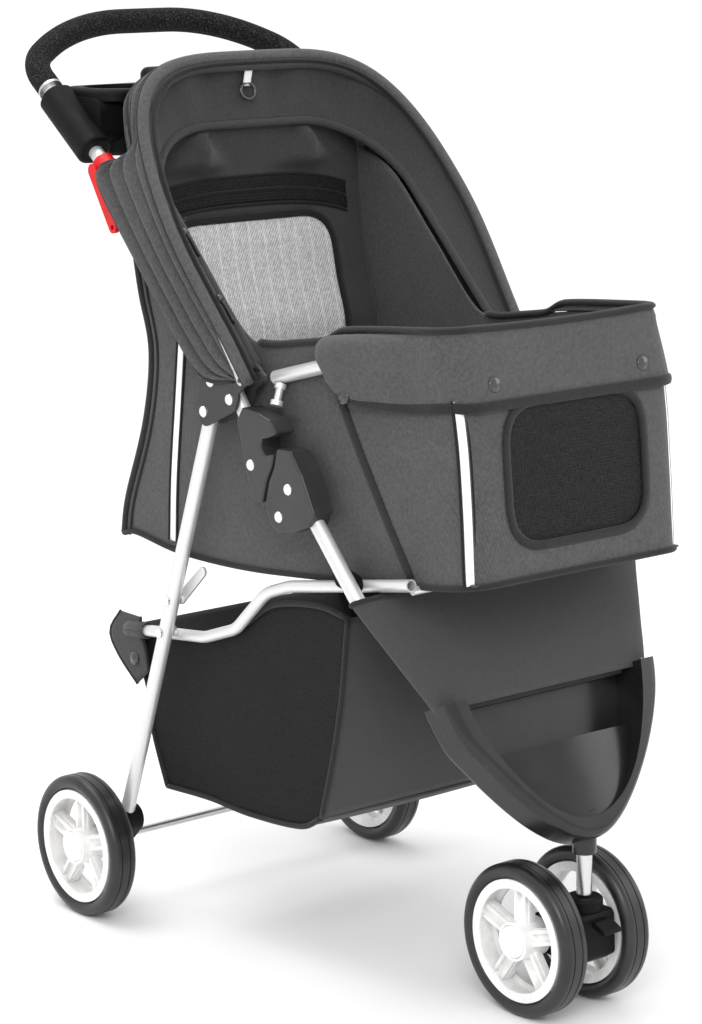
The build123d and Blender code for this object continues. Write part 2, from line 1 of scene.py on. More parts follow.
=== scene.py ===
import bpy
import json
import math
from mathutils import Matrix, Vector, noise

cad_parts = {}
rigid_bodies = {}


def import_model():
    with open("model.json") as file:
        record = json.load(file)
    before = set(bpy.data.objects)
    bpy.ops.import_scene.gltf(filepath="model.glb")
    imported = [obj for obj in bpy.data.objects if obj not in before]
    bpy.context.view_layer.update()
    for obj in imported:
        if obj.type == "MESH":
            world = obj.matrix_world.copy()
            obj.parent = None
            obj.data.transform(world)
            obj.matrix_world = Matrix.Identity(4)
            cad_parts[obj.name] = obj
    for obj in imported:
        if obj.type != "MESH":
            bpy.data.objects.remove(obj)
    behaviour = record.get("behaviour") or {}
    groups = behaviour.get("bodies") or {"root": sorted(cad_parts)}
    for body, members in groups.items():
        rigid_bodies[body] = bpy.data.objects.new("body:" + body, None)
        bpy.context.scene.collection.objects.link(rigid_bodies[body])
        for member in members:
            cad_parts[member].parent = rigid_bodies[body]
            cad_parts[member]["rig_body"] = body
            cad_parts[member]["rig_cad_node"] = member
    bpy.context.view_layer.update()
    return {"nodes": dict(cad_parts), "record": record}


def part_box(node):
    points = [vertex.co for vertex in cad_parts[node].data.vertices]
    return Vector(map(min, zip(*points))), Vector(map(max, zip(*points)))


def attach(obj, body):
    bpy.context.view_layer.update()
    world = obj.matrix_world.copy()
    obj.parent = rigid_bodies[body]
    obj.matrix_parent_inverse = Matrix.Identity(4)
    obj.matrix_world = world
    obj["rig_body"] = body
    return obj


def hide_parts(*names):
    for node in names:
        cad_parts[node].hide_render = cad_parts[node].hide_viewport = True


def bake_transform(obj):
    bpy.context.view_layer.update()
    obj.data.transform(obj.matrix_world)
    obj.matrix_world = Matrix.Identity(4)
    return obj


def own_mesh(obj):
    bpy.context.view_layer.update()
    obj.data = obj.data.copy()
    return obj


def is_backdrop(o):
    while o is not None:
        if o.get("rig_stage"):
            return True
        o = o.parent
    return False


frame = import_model()

# Looks for a three-wheeled pet stroller. P() takes millimetres, with Y from the rear axle,
# and everything is placed from that axle. The front points to -Y and the right side to -X.

axle_low, axle_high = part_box("rear_axle")
AXLE_Y = (axle_low.y + axle_high.y) / 2
MM = 0.001
RIGHT, LEFT = -1, 1
SIDES = {"right": RIGHT, "left": LEFT}


def P(x, y, z):
    return Vector((x * MM, y * MM + AXLE_Y, z * MM))


# ---- curves -------------------------------------------------------------------------
def along(points, count, closed=False):
    """Evenly spaced points on the polyline through the given ones."""
    path = list(points) + ([points[0]] if closed else [])
    reach = [0.0]
    for a, b in zip(path, path[1:]):
        reach.append(reach[-1] + (b - a).length)
    steps = count if closed else count - 1
    out, k = [], 0
    for i in range(count):
        target = reach[-1] * i / steps
        while k < len(path) - 2 and reach[k + 1] < target:
            k += 1
        span = reach[k + 1] - reach[k]
        share = (target - reach[k]) / span if span else 0
        out.append(path[k].lerp(path[k + 1], min(max(share, 0), 1)))
    return out


def spline(points, count, closed=False):
    """Evenly spaced points on a smooth curve through the given ones."""
    pts = [Vector(p) for p in points]
    n = len(pts)
    fine = []
    for i in range(n if closed else n - 1):
        b, c = pts[i], pts[(i + 1) % n]
        a = pts[i - 1] if closed or i else b * 2 - c
        d = pts[(i + 2) % n] if closed or i < n - 2 else c * 2 - b
        for k in range(12):
            t = k / 12
            fine.append(
                0.5
                * (
                    2 * b
                    + (c - a) * t
                    + (2 * a - 5 * b + 4 * c - d) * t**2
                    + (3 * b - a - 3 * c + d) * t**3
                )
            )
    if not closed:
        fine.append(pts[-1])
    return along(fine, count, closed)


def rounded(corners, radius, count):
    """Evenly spaced points round a closed polygon whose corners are rounded."""
    n = len(corners)
    fine = []
    for i in range(n):
        a, b, c = corners[i - 1], corners[i], corners[(i + 1) % n]
        start = b + (a - b).normalized() * radius
        end = b + (c - b).normalized() * radius
        for k in range(9):
            t = k / 8
            fine.append(start * (1 - t) ** 2 + b * 2 * t * (1 - t) + end * t**2)
    return along(fine, count, closed=True)


def smooth(low, high, value):
    """0 at low and 1 at high, with a soft start and end."""
    t = min(max((value - low) / (high - low), 0), 1)
    return t * t * (3 - 2 * t)


def coons(bottom, top, rear, front, across, up):
    """A grid of points inside four edges; bottom and top run from rear to front."""
    low, high = spline(bottom, across), spline(top, across)
    near, far = spline(rear, up), spline(front, up)
    rows = []
    for j in range(up):
        v = j / (up - 1)
        row = []
        for i in range(across):
            u = i / (across - 1)
            ruled = low[i] * (1 - v) + high[i] * v + near[j] * (1 - u) + far[j] * u
            corners = (low[0] * (1 - u) + low[-1] * u) * (1 - v)
            corners += (high[0] * (1 - u) + high[-1] * u) * v
            row.append(ruled - corners)
        rows.append(row)
    return rows


# ---- meshes -------------------------------------------------------------------------
class Shape:
    """Gathers the faces of one piece, with its weave coordinates in metres."""

    def __init__(self):
        self.points, self.faces, self.weave = [], [], []

    def grid(self, rows, closed=False, keep=None):
        """Faces between rows of points, with weave coordinates measured along them."""
        base = len(self.points)
        width = len(rows[0])
        u = []
        for row in rows:
            reach = [0.0]
            for a, b in zip(row, row[1:] + row[:1]):
                reach.append(reach[-1] + (b - a).length)
            u.append(reach)
        v = [[0.0] * (width + 1)]
        for j in range(1, len(rows)):
            step = [(rows[j][i] - rows[j - 1][i]).length for i in range(width)]
            step.append(step[0])
            v.append([v[-1][i] + step[i] for i in range(width + 1)])
        self.points += [p for row in rows for p in row]
        for j in range(len(rows) - 1):
            for i in range(width if closed else width - 1):
                k = (i + 1) % width
                centre = (rows[j][i] + rows[j + 1][k]) / 2
                if keep and not keep(centre):
                    continue
                self.faces.append(
                    [base + j * width + i, base + j * width + k]
                    + [base + (j + 1) * width + k, base + (j + 1) * width + i]
                )
                self.weave.append(
                    [(u[j][i], v[j][i]), (u[j][i + 1], v[j][i + 1])]
                    + [(u[j + 1][i + 1], v[j + 1][i + 1]), (u[j + 1][i], v[j + 1][i])]
                )
        return self

    def tube(self, path, half_width, half_height=None, normal=None, closed=False, sides=10):
        """A round or flattened roll along a path. The short way points along normal."""
        half_height = half_width if half_height is None else half_height
        n = len(path)
        rows = []
        hint = Vector(normal) if normal is not None else None
        for i, p in enumerate(path):
            before = path[i - 1] if closed or i else path[0]
            after = path[(i + 1) % n] if closed or i < n - 1 else path[-1]
            tangent = (after - before).normalized()
            if hint is None:
                hint = tangent.orthogonal()
            out = (hint - tangent * hint.dot(tangent)).normalized()
            if normal is None:
                hint = out
            side = tangent.cross(out)
            rows.append(
                [
                    p
                    + out * half_height * MM * math.cos(math.tau * k / sides)
                    + side * half_width * MM * math.sin(math.tau * k / sides)
                    for k in range(sides)
                ]
            )
        if closed:
            rows.append(rows[0])
        base = len(self.points)
        self.grid(rows, closed=True)
        if not closed:
            ends = [list(range(base, base + sides))[::-1]]
            ends.append(list(range(base + (n - 1) * sides, base + n * sides)))
            for end in ends:
                self.faces.append(end)
                self.weave.append([(0.0, 0.0)] * sides)
        return self

    def lathe(self, centre, axis, profile, sides=24):
        """profile holds (distance along axis, radius) in millimetres."""
        axis = Vector(axis).normalized()
        out = axis.orthogonal().normalized()
        side = axis.cross(out)
        rows = [
            [
                centre
                + axis * h * MM
                + (out * math.cos(math.tau * k / sides) + side * math.sin(math.tau * k / sides))
                * r
                * MM
                for k in range(sides)
            ]
            for h, r in profile
        ]
        return self.grid(rows, closed=True)

    def stitches(self, path, normal, pitch, length, radius):
        """Short beads in a row along a path."""
        total = sum((b - a).length for a, b in zip(path, path[1:])) / MM
        count = max(2, int(total / pitch))
        spots = along(path, count)
        for a, b in zip(spots, spots[1:]):
            way = (b - a).normalized()
            up = Vector(normal)
            up = (up - way * up.dot(way)).normalized()
            side = way.cross(up)
            mid = (a + b) / 2
            ring = []
            for reach, size in ((-0.5, 0.35), (-0.2, 1.0), (0.2, 1.0), (0.5, 0.35)):
                at = mid + way * reach * length * MM
                turn = [(1, 0), (0, 1), (-1, 0), (0, -1)]
                ring.append([at + (up * c + side * s) * radius * size * MM for c, s in turn])
            self.grid(ring, closed=True)
        return self

    def make(self, name, material, body, thickness=0.0, offset=0.0, slot=None):
        """The finished object, thickened as cloth if asked, riding on a body if given."""
        mesh = bpy.data.meshes.new(name)
        mesh.from_pydata([tuple(p) for p in self.points], [], self.faces)
        layer = mesh.uv_layers.new(name="weave")
        flat = [c for face in self.weave for pair in face for c in pair]
        layer.data.foreach_set("uv", flat)
        mesh.materials.append(material)
        mesh.shade_smooth()
        obj = bpy.data.objects.new(name, mesh)
        bpy.context.scene.collection.objects.link(obj)
        if thickness:
            solid = obj.modifiers.new("thickness", "SOLIDIFY")
            solid.thickness = thickness * MM
            solid.offset = offset
            bpy.context.view_layer.update()
            done = obj.evaluated_get(bpy.context.evaluated_depsgraph_get())
            obj.data = bpy.data.meshes.new_from_object(done)
            obj.modifiers.clear()
        if body:
            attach(obj, body)
        return obj


def length_of(path):
    return sum((b - a).length for a, b in zip(path, path[1:]))


def as_sheet(obj, rows, keep=None):
    """Works out a grid's longest run each way and its area, and returns the object as it is."""
    width = max(length_of(row) for row in rows)
    columns = [[row[i] for row in rows] for i in range(0, len(rows[0]), 4)]
    length = max(length_of(column) for column in columns)
    area = 0.0
    for lower, upper in zip(rows, rows[1:]):
        for i in range(len(lower) - 1):
            if keep and not keep((lower[i] + upper[i + 1]) / 2):
                continue
            area += (lower[i + 1] - lower[i]).cross(upper[i] - lower[i]).length / 2
            area += (upper[i + 1] - upper[i]).cross(upper[i + 1] - lower[i + 1]).length / 2
    area = min(max(area, 0.31 * width * length), width * length)
    return obj


# ---- materials ----------------------------------------------------------------------
class Look:
    """A Principled material and short ways to add nodes to it."""

    def __init__(self, name, colour, roughness, metallic=0.0, **sockets):
        self.material = bpy.data.materials.new(name)
        self.material.use_nodes = True
        self.tree = self.material.node_tree
        self.shader = self.tree.nodes["Principled BSDF"]
        self.set("Base Color", (*colour, 1))
        self.set("Roughness", roughness)
        self.set("Metallic", metallic)
        for socket, value in sockets.items():
            self.set(socket.replace("_", " "), value)
        self.bumps = None

    def set(self, socket, value):
        self.shader.inputs[socket].default_value = value

    def node(self, kind, **settings):
        made = self.tree.nodes.new(kind)
        for key, value in settings.items():
            setattr(made, key, value)
        return made

    def join(self, a, b):
        self.tree.links.new(a, b)

    def coordinates(self, kind, scale=1.0):
        """Weave coordinates (UV) or the row frame (Object), both in metres, scaled."""
        source = self.node("ShaderNodeTexCoord")
        scaled = self.node("ShaderNodeVectorMath", operation="SCALE")
        scaled.inputs["Scale"].default_value = scale
        self.join(source.outputs[kind], scaled.inputs[0])
        return scaled.outputs[0]

    def math(self, operation, a, b=0.0):
        made = self.node("ShaderNodeMath", operation=operation)
        for socket, value in zip(made.inputs, (a, b)):
            if isinstance(value, (int, float)):
                socket.default_value = value
            else:
                self.join(value, socket)
        return made.outputs[0]

    def wave(self, direction, pitch, kind="UV"):
        """A sine from -1 to 1 that repeats every pitch millimetres along a direction."""
        dot = self.node("ShaderNodeVectorMath", operation="DOT_PRODUCT")
        self.join(self.coordinates(kind, math.tau / (pitch * MM)), dot.inputs[0])
        dot.inputs[1].default_value = direction
        return self.math("SINE", dot.outputs["Value"])

    def noise(self, size, detail=3.0, kind="Object"):
        """Noise from 0 to 1 with features of about size millimetres."""
        made = self.node("ShaderNodeTexNoise")
        made.inputs["Scale"].default_value = 1.0
        made.inputs["Detail"].default_value = detail
        self.join(self.coordinates(kind, 1 / (size * MM)), made.inputs["Vector"])
        return made.outputs["Fac"]

    def remap(self, value, low, high, out_low, out_high):
        made = self.node("ShaderNodeMapRange")
        self.join(value, made.inputs["Value"])
        for socket, number in zip(
            ("From Min", "From Max", "To Min", "To Max"), (low, high, out_low, out_high)
        ):
            made.inputs[socket].default_value = number
        return made.outputs[0]

    def mix_colour(self, factor, a, b):
        made = self.node("ShaderNodeMix", data_type="RGBA")
        self.join(factor, made.inputs["Factor"])
        made.inputs["A"].default_value = (*a, 1)
        made.inputs["B"].default_value = (*b, 1)
        self.join(made.outputs["Result"], self.shader.inputs["Base Color"])
        return made

    def bump(self, height, distance, strength=0.6):
        made = self.node("ShaderNodeBump")
        made.inputs["Distance"].default_value = distance * MM
        made.inputs["Strength"].default_value = strength
        self.join(height, made.inputs["Height"])
        if self.bumps:
            self.join(self.bumps, made.inputs["Normal"])
        self.bumps = made.outputs[0]
        self.join(self.bumps, self.shader.inputs["Normal"])

    def rough(self, value, low, high):
        self.join(self.remap(value, 0.3, 0.7, low, high), self.shader.inputs["Roughness"])

    def cut(self, mask):
        """Leaves holes in the surface where the mask is 0."""
        self.join(mask, self.shader.inputs["Alpha"])


def shade(colour, factor):
    return tuple(c * factor for c in colour)


def woven(name, colour, pitch=2.6, contrast=0.30, ribs=True):
    """Twill: diagonal ribs, crossed by single yarns, with faint uneven dye."""
    look = Look(
        name, colour, 0.86, Sheen_Weight=0.12, Sheen_Roughness=0.5, Specular_IOR_Level=0.2
    )
    rib = look.wave((1.0, 1.0 if ribs else 0.0, 0), pitch * 1.41)
    yarn = look.wave((1.0, -1.0, 0), pitch * 0.9)
    cross = look.math("ADD", look.math("MULTIPLY", rib, 0.65), look.math("MULTIPLY", yarn, 0.35))
    uneven = look.noise(46, 4.0)
    slub = look.noise(pitch * 1.3, 3.0)
    tone = look.math("ADD", look.math("MULTIPLY", cross, 0.22), look.math("MULTIPLY", slub, 1.5))
    tone = look.math("ADD", tone, look.math("MULTIPLY", uneven, 0.5))
    factor = look.remap(tone, 0.55, 1.45, 0, 1)
    look.mix_colour(factor, shade(colour, 1 - contrast), shade(colour, 1 + contrast))
    look.bump(cross, 0.25, 0.5)
    look.bump(look.noise(9, 2.0), 0.5, 0.25)
    look.rough(uneven, 0.78, 0.92)
    return look.material


def net(name, colour, pitch, share, light=None):
    """Open knit: rows of loops with holes between them, in uneven yarn up to light."""
    look = Look(name, colour, 0.7, Specular_IOR_Level=0.2)
    rows = look.wave((0, 1, 0), pitch)
    loops = look.wave((1, 0.18, 0), pitch * 1.1)
    weave = look.math("MAXIMUM", rows, loops)
    look.bump(weave, 0.4, 0.6)
    solid = look.math("GREATER_THAN", weave, share)
    look.cut(solid)
    uneven = look.noise(2.4, 2.0)
    look.mix_colour(
        look.remap(uneven, 0.3, 0.7, 0, 1), shade(colour, 0.72), light or shade(colour, 2.0)
    )
    return look.material


def moulded(name, colour, roughness, grain=0.5, depth=0.08, **sockets):
    """Moulded plastic: fine grain, with slightly polished and scuffed patches."""
    look = Look(name, colour, roughness, **sockets)
    scuff = look.noise(28, 5.0)
    look.rough(scuff, roughness * 0.86, min(roughness * 1.15, 1))
    look.mix_colour(look.remap(scuff, 0.35, 0.7, 0, 1), shade(colour, 0.9), shade(colour, 1.18))
    look.bump(look.noise(grain, 2.0), depth, 0.35)
    return look.material


def coated(name, colour, roughness, metallic, fleck=0.35):
    """Metallic paint or plating: fine flecks over a soft, slightly uneven gloss."""
    look = Look(name, colour, roughness, metallic, Coat_Weight=0.25, Coat_Roughness=0.25)
    flecks = look.noise(fleck, 2.0)
    look.mix_colour(look.remap(flecks, 0.3, 0.7, 0, 1), shade(colour, 0.93), shade(colour, 1.05))
    look.rough(look.noise(40, 4.0), roughness * 0.85, roughness * 1.2)
    look.bump(flecks, 0.02, 0.25)
    return look.material


CHARCOAL = (0.068, 0.068, 0.070)
fabric = woven("charcoal_twill", CHARCOAL)
lining = woven("charcoal_lining", shade(CHARCOAL, 0.62), pitch=2.0, contrast=0.22)
binding = woven("charcoal_binding", shade(CHARCOAL, 0.26), pitch=2.0, contrast=0.3)
dark_edge = woven("black_piping", (0.010, 0.010, 0.011), pitch=1.2, contrast=0.2)
apron = woven("smooth_charcoal", shade(CHARCOAL, 0.76), pitch=1.8, contrast=0.16)
webbing = woven("grey_webbing", (0.11, 0.11, 0.112), pitch=2.2, contrast=0.22, ribs=False)
white_web = woven("white_webbing", (0.86, 0.86, 0.85), pitch=1.6, contrast=0.05)
black_net = net("black_net", (0.006, 0.006, 0.006), 3.0, -0.6, light=(0.018, 0.018, 0.018))
basket_net = net("basket_net", (0.007, 0.007, 0.007), 2.6, -0.78)


def knit():
    """Pale knitted mesh: rows of loops, with lighter wales every so often."""
    look = Look("window_knit", (0.6, 0.6, 0.6), 0.75, Specular_IOR_Level=0.2)
    rows = look.wave((0.06, 1, 0), 3.6)
    loops = look.wave((1, 0.3, 0), 3.1)
    wales = look.math("POWER", look.math("ABSOLUTE", look.wave((1, 0, 0), 40)), 60)
    tone = look.math("ADD", look.math("MULTIPLY", rows, loops), look.math("MULTIPLY", wales, 0.5))
    tone = look.math("ADD", tone, look.math("MULTIPLY", look.noise(3.4, 3.0), 2.2))
    look.mix_colour(look.remap(tone, 0.1, 2.2, 0, 1), (0.25, 0.25, 0.25), (0.86, 0.86, 0.86))
    look.bump(look.math("MULTIPLY", rows, loops), 0.5, 0.6)
    return look.material


window_knit = knit()


def reflective():
    look = Look("reflective_white", (0.90, 0.90, 0.90), 0.35, Coat_Weight=0.4, Coat_Roughness=0.2)
    beads = look.math("MULTIPLY", look.wave((1, 0, 0), 1.2), look.wave((0, 1, 0), 1.2))
    look.bump(beads, 0.06, 0.4)
    look.mix_colour(look.noise(14, 3.0), (0.84, 0.84, 0.84), (0.95, 0.95, 0.95))
    return look.material


def foam():
    look = Look("speckled_foam", (0.012, 0.012, 0.012), 0.9, Specular_IOR_Level=0.15)
    specks = look.noise(1.5, 4.0)
    look.mix_colour(look.remap(specks, 0.5, 0.68, 0, 1), (0.006, 0.006, 0.006), (0.05, 0.05, 0.05))
    look.bump(specks, 0.7, 0.7)
    return look.material


def rubber():
    look = Look("tyre_rubber", (0.012, 0.012, 0.013), 0.35, Specular_IOR_Level=0.5)
    dust = look.noise(22, 5.0)
    worn = look.remap(dust, 0.35, 0.7, 0, 1)
    look.mix_colour(worn, (0.010, 0.010, 0.0105), (0.020, 0.020, 0.021))
    look.rough(dust, 0.28, 0.42)
    look.bump(look.noise(0.7, 3.0), 0.12, 0.4)
    return look.material


reflective_white = reflective()
silver = coated("silver_powder_coat", (0.74, 0.745, 0.75), 0.34, 0.55)
zinc = coated("zinc_plate", (0.62, 0.62, 0.63), 0.28, 0.95)
bright = coated("bright_rivet", (0.86, 0.86, 0.86), 0.25, 0.8)
plate_paint = moulded("charcoal_plate", (0.040, 0.040, 0.041), 0.5, Specular_IOR_Level=0.3)
black_plastic = moulded("black_moulding", (0.0045, 0.0045, 0.005), 0.55, Specular_IOR_Level=0.14)
gloss_black = moulded(
    "gloss_black", (0.014, 0.014, 0.0145), 0.24, depth=0.02, Specular_IOR_Level=0.4
)
latch_plastic = moulded("latch_nylon", (0.030, 0.030, 0.031), 0.34, Specular_IOR_Level=0.4)
red_plastic = moulded("red_moulding", (0.62, 0.002, 0.003), 0.35, Specular_IOR_Level=0.35)
rim_plastic = moulded("off_white_moulding", (0.84, 0.84, 0.83), 0.38, depth=0.03)
foam_black = foam()
tyre_rubber = rubber()
snap_black = moulded("snap_black", (0.030, 0.030, 0.032), 0.2, Coat_Weight=0.5)

SLOT_LOOKS = {
    "silver_tube": silver,
    "zinc_steel": zinc,
    "rivet_steel": bright,
    "charcoal_plate": plate_paint,
    "black_plastic": black_plastic,
    "gloss_black_plastic": gloss_black,
    "latch_plastic": latch_plastic,
    "red_plastic": red_plastic,
    "foam": foam_black,
    "rim_white": rim_plastic,
    "tyre": tyre_rubber,
    "charcoal_fabric": fabric,
    "webbing": webbing,
    "board": lining,
}
slot_of = {s["node"]: s["material_slot"] for s in frame["record"]["subparts"]}
for name, node in frame["nodes"].items():
    node.data.materials.clear()
    node.data.materials.append(SLOT_LOOKS[slot_of[name]])

# ---- cabin walls --------------------------------------------------------------------
CABIN_HALF = 148.0
CABIN_FRONT_HALF = 132.0
CABIN_FRONT_Y = -570.0
TAPER_Y = -250.0
CORNER = 26.0
CLOTH = 1.6

REAR_EDGE = [(-20, 407), (-29, 446), (-64, 531), (-76, 604), (-60, 663), (-47, 735), (-44, 790)]
FRONT_EDGE = [(-548, 437), (-540, 520), (-531, 600), (-514, 658)]
BOTTOM_EDGE = [(-20, 407), (-44, 411), (-118, 403), (-219, 404), (-314, 411)]
BOTTOM_EDGE += [(-405, 420), (-491, 428), (-548, 437)]
TOP_EDGE = [(-44, 790), (-100, 768), (-165, 704), (-228, 640), (-262, 630)]
TOP_EDGE += [(-320, 637), (-393, 648), (-514, 658)]


def plan_x(y):
    """Half the cabin's width at a place along it."""
    share = (y - TAPER_Y) / (CABIN_FRONT_Y - TAPER_Y)
    return CABIN_HALF + smooth(-0.25, 1, share) * (CABIN_FRONT_HALF - CABIN_HALF)


def flat(points):
    return [Vector((0, y, z)) for y, z in points]


ACROSS, UP, BEND, FACE = 84, 44, 7, 40
side_grid = coons(flat(BOTTOM_EDGE), flat(TOP_EDGE), flat(REAR_EDGE), flat(FRONT_EDGE), ACROSS, UP)


def cabin_row(j):
    """One level round the cabin: right side to the front, round the corners, left side."""
    v = j / (UP - 1)
    line = side_grid[j]
    end = line[-1]
    half = plan_x(end.y)
    side, past = [], []
    for i, q in enumerate(line):
        u = i / (ACROSS - 1)
        crown = 4.0 * math.sin(math.pi * min(u * 1.15, 1)) * math.sin(math.pi * v) ** 0.7
        ripple = 1.6 * noise.noise(Vector((q.y * 0.012, q.z * 0.010, 3.1))) * math.sin(math.pi * v)
        if q.y - end.y >= CORNER:
            side.append(Vector((plan_x(q.y) + crown + ripple, q.y, q.z)))
    side = side[: ACROSS - 5]
    corner = Vector((half, end.y, end.z))
    start = side[-1]
    face_start = Vector((half - CORNER, end.y, end.z))
    for k in range(1, BEND):
        t = k / BEND
        past.append(start * (1 - t) ** 2 + corner * 2 * t * (1 - t) + face_start * t * t)
    right = [Vector((-p.x, p.y, p.z)) for p in side + past]
    left = list(reversed(side + past))
    face = []
    for k in range(FACE + 1):
        share = 2 * k / FACE - 1
        belly = 4.0 * (1 - share**2) * math.sin(math.pi * v)
        drop = 2.0 * (1 - share**2) * v
        face.append(Vector((share * (half - CORNER), end.y - belly, end.z - drop)))
    return right, face, left


def cabin_levels():
    """Every level of the cabin, with as many points on each side wall."""
    rows = [cabin_row(j) for j in range(UP)]
    fewest = min(len(right) for right, _, _ in rows)
    full = []
    for right, face, left in rows:
        right, left = along(right, fewest), along(left, fewest)
        full.append([P(*p) for p in right + face + left])
    return full, fewest


cabin, wall_count = cabin_levels()
FACE_START = wall_count
FACE_END = wall_count + FACE


def window_gap(x0, x1, z0, z1, radius, front=True):
    """True for points outside a window with round corners in the front or rear wall."""

    def outside(p):
        if front and p.y > P(0, -480, 0).y:
            return True
        dx = max(abs(p.x / MM - (x0 + x1) / 2) - (x1 - x0) / 2 + radius, 0)
        dz = max(abs(p.z / MM - (z0 + z1) / 2) - (z1 - z0) / 2 + radius, 0)
        return math.hypot(dx, dz) > radius

    return outside


FRONT_WINDOW = (-88, 86, 466, 598, 36)
front_open = window_gap(*FRONT_WINDOW)
walls = Shape().grid(cabin, keep=front_open).make(
    "cabin_walls", fabric, "rear_frame", CLOTH, 0, "charcoal_fabric"
)
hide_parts("cabin_shell")
as_sheet(walls, cabin, front_open)


def wall_point(index, level, out=0.0):
    """A place on the cabin walls, a little outside them. level is from 0 to 1."""
    j = level * (UP - 1)
    k = min(int(j), UP - 2)
    p = cabin[k][index].lerp(cabin[k + 1][index], j - k)
    a = cabin[k][max(index - 1, 0)]
    b = cabin[k][min(index + 1, len(cabin[k]) - 1)]
    along_wall = (b - a).normalized()
    upward = (cabin[k + 1][index] - cabin[k][index]).normalized()
    return p + upward.cross(along_wall).normalized() * -out * MM


def on_side(side, y, z, out=1.6):
    """The point of a side wall nearest to (y, z), a little outside it."""
    target = P(0, y, z)
    best = None
    offsets = range(0, wall_count) if side == RIGHT else range(FACE_END + 1, len(cabin[0]))
    for row in cabin:
        for i in offsets:
            d = (row[i].y - target.y) ** 2 + (row[i].z - target.z) ** 2
            if best is None or d < best[0]:
                best = (d, row[i].x)
    return Vector((best[1] + side * out * MM, target.y, target.z))


def flat_strip(name, path, width, normal, material, body, lift=1.2, slot="charcoal_fabric"):
    """A tape sewn flat on a surface along a path."""
    shape = Shape().tube(path, width / 2, lift, normal, sides=12)
    return shape.make(name, material, body, slot=slot)


corners = [P(x, 0, z) for x, z in ((-88, 466), (-88, 598), (86, 598), (86, 466))]
front_window_ring = rounded(corners, 40 * MM, 96)


def front_wall_y(x, z):
    """How far forward the front wall is at a place on it."""
    best = min(
        (
            (abs(p.x - x) + abs(p.z - z), p.y)
            for row in cabin
            for p in row[FACE_START : FACE_END + 1]
        ),
        key=lambda pair: pair[0],
    )
    return best[1]


ring = [Vector((p.x, front_wall_y(p.x, p.z) - 1.6 * MM, p.z)) for p in front_window_ring]
rim_of_window = Shape().tube(ring, 4.6, 1.9, (0, -1, 0), closed=True)
rim_of_window.make("front_window_binding", binding, "rear_frame", slot="charcoal_fabric")
window_rows = [
    [
        Vector((x * MM, front_wall_y(x * MM, z * MM) + 0.6 * MM, z * MM))
        for x in range(-92, 93, 8)
    ]
    for z in range(461, 606, 8)
]
window_net = Shape().grid(window_rows).make("front_window_net", black_net, "rear_frame", 0.5)
as_sheet(window_net, window_rows)

# tapes and pipings on the walls
bottom_roll = [wall_point(i, 0, 0.4) for i in range(len(cabin[0]))]
bottom_piping = Shape().tube(bottom_roll, 4.2, 3.0, (0, 0, 1))
bottom_piping.make("cabin_bottom_piping", binding, "rear_frame")
rim_roll = [
    p + Vector((0, 0, 1 + 8 * smooth(-345, -375, (p.y - AXLE_Y) / MM))) * MM for p in cabin[-1]
]
rim_from = next(i for i, p in enumerate(rim_roll) if p.y < P(0, -250, 0).y)
rim_path = rim_roll[rim_from : len(rim_roll) - rim_from]
rim_binding = Shape().tube(rim_path, 5.4, 3.4, (0, 0, 1))
rim_binding.make("cabin_rim_binding", binding, "rear_frame")

REFLECTOR_LINE = [(-134, 643), (-124, 560), (-113, 480), (-107, 413)]
SLANT_LINE = [(-352, 622), (-385, 562), (-425, 492), (-462, 432)]
PIPING_TOP = 0.755
for name, side in SIDES.items():
    pick = 0 if side == RIGHT else -1
    edge = [row[pick] for row in cabin]
    outer = [p + Vector((side * 1.4 * MM, 0.5 * MM, 0)) for p in edge]
    inner = [p + Vector((side * 2.0 * MM, -11 * MM, 0)) for p in edge]
    seam = Shape().tube(outer, 4.4, 2.2, (side, 0, 0))
    seam.tube(inner, 2.0, 1.2, (side, 0, 0))
    seam.make(f"cabin_rear_binding_{name}", binding, "rear_frame")
    tape = spline([on_side(side, y, z) for y, z in REFLECTOR_LINE], 40)
    flat_strip(f"rear_reflector_{name}", tape, 9.5, (side, 0, 0), reflective_white, "rear_frame")
    seams = Shape()
    for shift in (-6.6, 6.6):
        seams.tube([p + Vector((0, shift * MM, 0)) for p in tape], 1.7, 1.4, (side, 0, 0))
    seams.make(f"rear_reflector_seams_{name}", dark_edge, "rear_frame")
    slant = spline([on_side(side, y, z) for y, z in SLANT_LINE], 40)
    flat_strip(f"slanted_tape_{name}", slant, 10.5, (side, 0, 0), binding, "rear_frame")
    corner_index = FACE_START - 4 if side == RIGHT else FACE_END + 4
    out_way = Vector((side, -1.3, 0)).normalized()
    piping = [wall_point(corner_index, k / 30 * PIPING_TOP, 0.9) for k in range(31)]
    flat_strip(f"corner_piping_{name}", piping, 8.5, out_way, reflective_white, "rear_frame", 1.5)
    edges = Shape()
    around = Vector((0, 0, 1)).cross(out_way)
    for shift in (-6, 6):
        line = [p + around * shift * MM for p in piping]
        edges.tube(line, 1.4, 1.3, out_way)
    edges.make(f"corner_piping_seams_{name}", dark_edge, "rear_frame")

# ---- rear wall with the knitted window and the vent ---------------------------------
REAR_FOOT = 409.0
REAR_TOP = 824.0
SHOULDER_Z = 776.0
SHOULDER_R = 48.0


def rear_half(z):
    """Half the rear wall's width at a height, with round shoulders."""
    if z < SHOULDER_Z:
        return CABIN_HALF
    return CABIN_HALF - SHOULDER_R + math.sqrt(max(SHOULDER_R**2 - (z - SHOULDER_Z) ** 2, 0))


rear_line = spline(flat(REAR_EDGE) + [Vector((0, -50, REAR_TOP))], 200)


def rear_y(z):
    """Where the rear wall is at a height."""
    return min(rear_line, key=lambda p: abs(p.z - z)).y


REAR_WINDOW = (-108, 108, 520, 725, 36)
rear_open = window_gap(*REAR_WINDOW, front=False)


